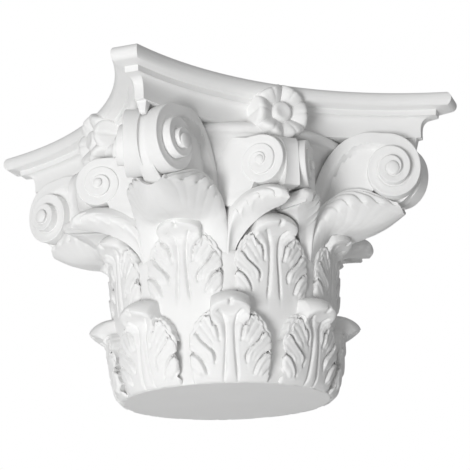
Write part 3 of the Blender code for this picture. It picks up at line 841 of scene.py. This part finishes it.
def scroll_shape(eye, turned, band, rises, oval, gap, stem, groove):
    """One scroll: a stem that fans out to a band, winding inwards and stepping outwards.

    oval narrows the spiral and lifts its outer turns. gap is kept free to the pair's middle.
    stem is how deep the fan is hollowed, how wide its raised edge is, and how far its foot
    leans back. groove is how deep the line between two turns is cut.
    """
    place = scroll_place(eye, turned)
    turns = sizes().scroll_turns
    start = math.ceil(band[0][0] * TURN_STEPS) / TURN_STEPS
    columns = round((turns - start) * TURN_STEPS)
    narrow, lift = oval
    hollow, edge_width, lean = stem
    shape = bmesh.new()
    bmesh.ops.create_grid(shape, x_segments=columns, y_segments=BAND_ROWS, size=0.5)

    def spiral(s, t):
        wound = start + s * (turns - start)
        inward = 0.5 - 0.5 * np.cos(np.pi * t)
        outer, inner = from_table(band, wound), from_table(band, wound + 1)
        from_edge = inward * (outer - inner)
        to_step = (1 - inward) * (outer - inner)
        radius = outer - from_edge
        fan = 1 - blend(-0.14, 0.02, wound)
        proud = from_table(rises, wound)
        proud = proud - fan * hollow * blend(edge_width, edge_width + 0.045, from_edge)
        proud -= lean * blend(0.33, 0.80, radius)
        deep = 0.35 + 0.65 * blend(-0.05, 0.15, wound)
        proud -= groove * deep * np.exp(-((to_step / 0.020) ** 2))
        proud -= 0.25 * groove * (1 - fan) * np.sin(np.pi * inward)
        flat = np.clip(from_edge / BAND_ROUNDING, 0, 1)
        proud -= BAND_ROUNDING * (1 - np.sqrt(1 - (1 - flat) ** 2))
        next_lean = lean * blend(0.33, 0.80, inner)
        stepped = from_table(rises, wound + 1) - BAND_ROUNDING - next_lean
        proud = np.where(t > 1 - 0.5 / BAND_ROWS, stepped, proud)
        angle = np.pi / 2 - 2 * np.pi * wound
        return np.stack(
            [narrow * radius * np.cos(angle), radius * (np.sin(angle) + lift), proud], axis=-1,
        )

    lay(shape.verts[:], spiral)
    bmesh.ops.remove_doubles(shape, verts=shape.verts[:], dist=1e-4)
    edges = open_edges(shape.edges)
    eye_radius = float(from_table(band, np.array([turns]))[0])
    eye_edges = [edge for edge in edges
                 if max(vert.co.xy.length for vert in edge.verts) < 1.4 * eye_radius]
    rim_edges = [edge for edge in edges if edge not in eye_edges]
    bmesh.ops.holes_fill(shape, edges=eye_edges, sides=0)
    walls = bmesh.ops.extrude_edge_only(shape, edges=rim_edges)["geom"]
    slant = math.radians(abs(turned))
    for vert in of_kind(walls, bmesh.types.BMVert):
        room = (abs(eye[1]) - gap - vert.co.x * math.cos(slant)) / math.sin(slant)
        vert.co.z = -min(max(room, 0.03), SCROLL_DEPTH)
    bmesh.ops.contextual_create(shape, geom=open_edges(walls))
    button = bmesh.ops.create_uvsphere(shape, u_segments=32, v_segments=14, radius=1.0)["verts"]
    size = eye_radius * 0.92
    proud = float(from_table(rises, np.array([turns]))[0])
    bmesh.ops.scale(shape, verts=button, vec=(size * narrow, size, 0.020))
    bmesh.ops.translate(shape, verts=button, vec=(0, 0, proud - 0.004))
    for vert in shape.verts:
        vert.co = place(*(np.float64(part) for part in vert.co))
    face_outwards(shape)
    return shape


def volutes_shape():
    """Two scrolls at each corner, back to back under the horn."""
    shape = scroll_shape(
        VOLUTE_EYE, VOLUTE_TURNED, VOLUTE_BAND, VOLUTE_RISES, VOLUTE_OVAL, VOLUTE_GAP,
        VOLUTE_STEM, VOLUTE_GROOVE,
    )
    add_mirrored(shape)
    add_turned(shape, CORNERS)
    return shape


def helices_shape():
    """The pair of small scrolls in the middle of each side."""
    shape = scroll_shape(
        HELIX_EYE, HELIX_TURNED, HELIX_BAND, HELIX_RISES, HELIX_OVAL, HELIX_GAP,
        HELIX_STEM, HELIX_GROOVE,
    )
    add_mirrored(shape)
    add_turned(shape, FACES)
    return shape


# Spines: the narrow bands between the two scrolls of a pair. Each point is out, up, half width.
# ROOT is how far out their backs lie, and HOLLOW how deep their faces are hollowed

SPINE_GRID = (12, 48)
VOLUTE_SPINE_ROOT = 1.50
VOLUTE_SPINE_HOLLOW = 0.018
VOLUTE_SPINE = (
    (1.78, 2.40, 0.075), (1.90, 2.35, 0.070), (1.975, 2.27, 0.062), (2.010, 2.17, 0.058),
    (2.020, 2.06, 0.058), (2.005, 1.95, 0.060), (1.955, 1.86, 0.065), (1.89, 1.79, 0.072),
    (1.81, 1.745, 0.080), (1.72, 1.70, 0.085),
)
HELIX_SPINE_ROOT = 1.05
HELIX_SPINE_HOLLOW = 0.012
HELIX_SPINE = (
    (1.25, 2.275, 0.120), (1.42, 2.25, 0.110), (1.52, 2.17, 0.080), (1.558, 2.07, 0.066),
    (1.565, 1.97, 0.064), (1.56, 1.86, 0.068), (1.54, 1.75, 0.078),
)


def spine_shape(points, directions, root_out, hollow):
    """A hollowed band down the middle of a pair of scrolls."""

    def front(s, t):
        side = 2 * s - 1
        out, up, half_width = curve(points, t).T
        return world(0.0, out - hollow * (1 - side**2), side * half_width, up)

    low, high = points[0][1], points[-1][1]

    def root(s, t):
        side = 2 * s - 1
        half_width = curve(points, t)[:, 2]
        return world(0.0, root_out + 0.0 * s, side * half_width * 0.8, low + (high - low) * t)

    shape = carved_sheet(*SPINE_GRID, front, root)
    add_turned(shape, directions)
    return shape


# Tongues under the horns: half diagonals at the foot and the top, height, middle and rounding

TONGUE_FOOT = 0.040
TONGUE_TOP = 0.075
TONGUE_HEIGHT = 0.12
TONGUE_OUT = 1.985
TONGUE_UP = 2.35
TONGUE_ROUNDING = 0.012


def horn_tongues_shape():
    """A small tapered block under each horn, between the two scrolls."""
    shape = bmesh.new()
    bmesh.ops.create_cone(
        shape, cap_ends=True, cap_tris=False, segments=4,
        radius1=TONGUE_FOOT, radius2=TONGUE_TOP, depth=TONGUE_HEIGHT,
    )
    turn = Matrix.Rotation(math.radians(45), 3, "Z")
    bmesh.ops.rotate(shape, verts=shape.verts, cent=(0, 0, 0), matrix=turn)
    bmesh.ops.translate(shape, verts=shape.verts, vec=(0, -TONGUE_OUT, TONGUE_UP))
    bmesh.ops.scale(shape, verts=shape.verts, vec=(MODULE, MODULE, MODULE))
    bmesh.ops.bevel(
        shape, geom=shape.edges[:], offset=TONGUE_ROUNDING * MODULE, segments=2,
        profile=0.5, affect="EDGES", material=-1,
    )
    face_outwards(shape)
    add_turned(shape, CORNERS)
    return shape


# Flowers on the middle of the abacus' sides. The button's profile is modules from its axis,
# and shares of its height

FLOWER_OUT = 1.30
FLOWER_UP = 2.51
FLOWER_RADIUS = 0.260
PETAL_ROOT = 0.16
PETAL_GRID = (28, 30)
BUTTON_BACK = 0.10
BUTTON_HEIGHT = 0.215
BUTTON_PROFILE = ((0.030, 0.0), (0.030, 0.62), (0.108, 0.62), (0.104, 0.80), (0.092, 0.93),
                  (0.078, 1.0), (0.060, 1.0), (0.030, 0.965), (0.0, 0.955))


def petal(angle):
    """One cupped petal with faint creases, turned round the flower's middle."""
    turn = math.radians(angle)

    def front(s, t):
        side = 2 * s - 1
        along = FLOWER_RADIUS * (0.26 + 0.74 * np.sin(np.pi / 2 * t) ** 0.9)
        width = FLOWER_RADIUS * 0.585 * np.sin(np.pi * (0.13 + 0.66 * t)) ** 0.75
        along = along - 0.06 * FLOWER_RADIUS * np.exp(-((side / 0.20) ** 2)) * t**6
        crown = np.sqrt(np.clip(1 - np.abs(side) ** 2.3, 0.0, 1.0))
        cup = 0.035 + 0.110 * np.sin(np.pi * np.clip(0.06 + 0.80 * t, 0.0, 1.0)) ** 1.1
        cup = cup * (1 - blend(0.86, 1.0, t) ** 2)
        crease = np.exp(-((side / 0.07) ** 2))
        crease = crease + 0.4 * np.exp(-(((np.abs(side) - 0.45) / 0.07) ** 2))
        proud = crown * (cup - 0.008 * crease * blend(0.1, 0.4, t))
        x, y = along, side * width
        return world(
            0.0, FLOWER_OUT + proud, x * math.cos(turn) - y * math.sin(turn),
            FLOWER_UP + x * math.sin(turn) + y * math.cos(turn),
        )

    def root(s, t):
        spot = front(0.5 + (s - 0.5) * 0.7, 0.1 + 0.8 * t)
        spot[:, 1] = -MODULE * (FLOWER_OUT - PETAL_ROOT)
        return spot

    return carved_sheet(*PETAL_GRID, front, root)


def flowers_shape():
    """Petals round a button with a hollowed face."""
    count = sizes().petals
    shape = petal(0.0)
    for place in range(1, count):
        merge_into(shape, petal(360.0 * place / count))
    button = bmesh.new()
    verts = [button.verts.new((radius * MODULE, 0.0, height)) for radius, height in BUTTON_PROFILE]
    edges = [button.edges.new(pair) for pair in zip(verts, verts[1:])]
    bmesh.ops.spin(
        button, geom=[*verts, *edges], axis=(0, 0, 1), cent=(0, 0, 0),
        angle=2 * math.pi, steps=40, use_merge=True,
    )
    bmesh.ops.remove_doubles(button, verts=button.verts[:], dist=JOIN_DISTANCE)
    bmesh.ops.holes_fill(button, edges=button.edges[:], sides=0)
    for vert in button.verts:
        out = FLOWER_OUT - BUTTON_BACK + BUTTON_HEIGHT * vert.co.z
        vert.co = (vert.co.x, -out * MODULE, FLOWER_UP * MODULE + vert.co.y)
    face_outwards(button)
    merge_into(shape, button)
    add_turned(shape, FACES)
    return shape


# Operators, one for each group of like pieces

class CAPITAL_OT_bell(bpy.types.Operator):
    """Turn the bell"""

    bl_idname = "capital.bell"
    bl_label = "Bell"

    def execute(self, context):
        finish_piece("bell", bell_shape())
        return {"FINISHED"}


class CAPITAL_OT_abacus(bpy.types.Operator):
    """Shape the hollow-sided abacus"""

    bl_idname = "capital.abacus"
    bl_label = "Abacus"

    def execute(self, context):
        finish_piece("abacus", abacus_shape(), crease=MOULDING_CREASE)
        return {"FINISHED"}


class CAPITAL_OT_leaves(bpy.types.Operator):
    """Carve the two rows of acanthus leaves"""

    bl_idname = "capital.leaves"
    bl_label = "Acanthus leaves"

    def execute(self, context):
        finish_piece("lower_leaves", lower_leaves_shape(), crease=CARVED_CREASE)
        finish_piece("upper_leaves", upper_leaves_shape(), crease=CARVED_CREASE)
        return {"FINISHED"}


class CAPITAL_OT_stalks(bpy.types.Operator):
    """Shape the stalks between the upper leaves"""

    bl_idname = "capital.stalks"
    bl_label = "Stalks"

    def execute(self, context):
        finish_piece("stalks", stalks_shape())
        return {"FINISHED"}


class CAPITAL_OT_scroll_leaves(bpy.types.Operator):
    """Carve the leaves under the corner volutes and the inner scrolls"""

    bl_idname = "capital.scroll_leaves"
    bl_label = "Leaves under the scrolls"

    def execute(self, context):
        finish_piece("corner_leaves", corner_leaves_shape(), crease=CARVED_CREASE)
        finish_piece("inner_leaves", inner_leaves_shape(), crease=CARVED_CREASE)
        return {"FINISHED"}


class CAPITAL_OT_scrolls(bpy.types.Operator):
    """Wind the corner volutes and the inner scrolls"""

    bl_idname = "capital.scrolls"
    bl_label = "Scrolls"

    def execute(self, context):
        finish_piece("volutes", volutes_shape())
        finish_piece("helices", helices_shape())
        volute_spines = spine_shape(VOLUTE_SPINE, CORNERS, VOLUTE_SPINE_ROOT, VOLUTE_SPINE_HOLLOW)
        finish_piece("volute_spines", volute_spines)
        helix_spines = spine_shape(HELIX_SPINE, FACES, HELIX_SPINE_ROOT, HELIX_SPINE_HOLLOW)
        finish_piece("helix_spines", helix_spines)
        finish_piece("horn_tongues", horn_tongues_shape())
        return {"FINISHED"}


class CAPITAL_OT_flowers(bpy.types.Operator):
    """Carve the flower on each side of the abacus"""

    bl_idname = "capital.flowers"
    bl_label = "Flowers"

    def execute(self, context):
        finish_piece("flowers", flowers_shape(), crease=CARVED_CREASE)
        return {"FINISHED"}


# Studio. The floor lies well below the capital, since the camera looks up at it. Its height,
# its half width and the lights' places are in metres, and the camera's are in modules

FLOOR_UP = -1.9
FLOOR_REACH = 6.0
LIGHTS = (
    ("key", (-2.2, -1.8, -1.0), 60.0, 1.2),
    ("top", (-0.9, -1.4, 2.3), 7.0, 2.0),
    ("back", (1.1, 2.5, 0.5), 30.0, 1.6),
)
SURROUND_LIGHT = 0.30
SURROUND_SEEN = 1.0
FRAME_PIXELS = 470
FOCAL_PIXELS = 1556.6
SENSOR = 36.0
CAMERA_AZIMUTH = -24.816
CAMERA_DISTANCE = 14.920
CAMERA_UP = -2.679
CAMERA_YAW = -0.460
CAMERA_PITCH = 16.306
CAMERA_ROLL = -1.554


def aim(thing, target):
    """Turns a light to shine at a place."""
    thing.rotation_euler = (Vector(target) - thing.location).to_track_quat("-Z", "Y").to_euler()


def add_light(name, spot, energy, size, target):
    """A soft round light, aimed at the target."""
    light = bpy.data.lights.new(name, "AREA")
    light.shape = "DISK"
    light.energy = energy
    light.size = size
    lamp = bpy.data.objects.new(name, light)
    lamp.location = spot
    bpy.context.scene.collection.objects.link(lamp)
    aim(lamp, target)


def add_camera():
    """The camera of the photograph: below the capital's base, left of its front, looking up."""
    azimuth = math.radians(CAMERA_AZIMUTH)
    heading = math.radians(CAMERA_AZIMUTH + CAMERA_YAW)
    pitch, roll = math.radians(CAMERA_PITCH), math.radians(CAMERA_ROLL)
    spot = Vector((
        CAMERA_DISTANCE * math.sin(azimuth), -CAMERA_DISTANCE * math.cos(azimuth), CAMERA_UP,
    )) * MODULE
    ahead = Vector((
        -math.sin(heading) * math.cos(pitch), math.cos(heading) * math.cos(pitch), math.sin(pitch),
    ))
    level = ahead.cross(Vector((0, 0, 1))).normalized()
    above = level.cross(ahead)
    right = level * math.cos(roll) + above * math.sin(roll)
    up = above * math.cos(roll) - level * math.sin(roll)
    axes = Matrix((right, up, -ahead)).transposed().to_4x4()
    lens = bpy.data.cameras.new("camera")
    lens.sensor_width = SENSOR
    lens.lens = SENSOR * FOCAL_PIXELS / FRAME_PIXELS
    camera = bpy.data.objects.new("camera", lens)
    camera.matrix_world = Matrix.Translation(spot) @ axes
    bpy.context.scene.collection.objects.link(camera)
    bpy.context.scene.camera = camera


def add_floor():
    """A plain pale floor."""
    shape = bmesh.new()
    bmesh.ops.create_grid(shape, x_segments=1, y_segments=1, size=FLOOR_REACH)
    bmesh.ops.translate(shape, verts=shape.verts, vec=(0, 0, FLOOR_UP))
    mesh = bpy.data.meshes.new("floor")
    shape.to_mesh(mesh)
    shape.free()
    material = bpy.data.materials.new("Pale floor")
    material.use_nodes = True
    shader = material.node_tree.nodes["Principled BSDF"]
    shader.inputs["Base Color"].default_value = (0.8, 0.8, 0.8, 1.0)
    shader.inputs["Roughness"].default_value = 0.9
    mesh.materials.append(material)
    floor = bpy.data.objects.new("floor", mesh)
    bpy.context.scene.collection.objects.link(floor)


def set_world():
    """A soft white surround that the camera sees as plain white."""
    surround = bpy.data.worlds.new("studio")
    surround.use_nodes = True
    nodes, links = surround.node_tree.nodes, surround.node_tree.links
    glow = nodes["Background"]
    glow.inputs["Color"].default_value = (1.0, 1.0, 1.0, 1.0)
    rays = nodes.new("ShaderNodeLightPath")
    strength = nodes.new("ShaderNodeMapRange")
    strength.inputs["To Min"].default_value = SURROUND_LIGHT
    strength.inputs["To Max"].default_value = SURROUND_SEEN
    links.new(rays.outputs["Is Camera Ray"], strength.inputs["Value"])
    links.new(strength.outputs["Result"], glow.inputs["Strength"])
    bpy.context.scene.world = surround


class CAPITAL_OT_stage(bpy.types.Operator):
    """Set up the floor, the lights and the camera"""

    bl_idname = "capital.stage"
    bl_label = "Stage"

    def execute(self, context):
        middle = (0.0, 0.0, HIGHEST[2] / 2)
        add_floor()
        set_world()
        for light in LIGHTS:
            add_light(*light, target=middle)
        add_camera()
        context.scene.view_settings.view_transform = "Standard"
        return {"FINISHED"}


STEPS = (
    CAPITAL_OT_stage, CAPITAL_OT_bell, CAPITAL_OT_abacus, CAPITAL_OT_leaves, CAPITAL_OT_stalks,
    CAPITAL_OT_scroll_leaves, CAPITAL_OT_scrolls, CAPITAL_OT_flowers,
)


class CAPITAL_PT_panel(bpy.types.Panel):
    """Lists the capital's sizes and the steps that model it"""

    bl_idname = "CAPITAL_PT_panel"
    bl_label = "Corinthian Capital"
    bl_space_type = "VIEW_3D"
    bl_region_type = "UI"
    bl_category = "Capital"

    def draw(self, context):
        layout = self.layout
        for group in (context.scene.capital_sizes, context.scene.capital_finish):
            for name in group.__annotations__:
                layout.prop(group, name)
        for step in STEPS:
            layout.operator(step.bl_idname)


CLASSES = (CarvingSizes, MouldedFinish, *STEPS, CAPITAL_PT_panel)


def register():
    for kind in CLASSES:
        bpy.utils.register_class(kind)
    bpy.types.Scene.capital_sizes = PointerProperty(type=CarvingSizes)
    bpy.types.Scene.capital_finish = PointerProperty(type=MouldedFinish)


def unregister():
    del bpy.types.Scene.capital_finish
    del bpy.types.Scene.capital_sizes
    for kind in reversed(CLASSES):
        bpy.utils.unregister_class(kind)


def main():
    register()
    bpy.ops.capital.stage()
    bpy.ops.capital.bell()
    bpy.ops.capital.abacus()
    bpy.ops.capital.leaves()
    bpy.ops.capital.stalks()
    bpy.ops.capital.scroll_leaves()
    bpy.ops.capital.scrolls()
    bpy.ops.capital.flowers()


if __name__ == "__main__":
    main()
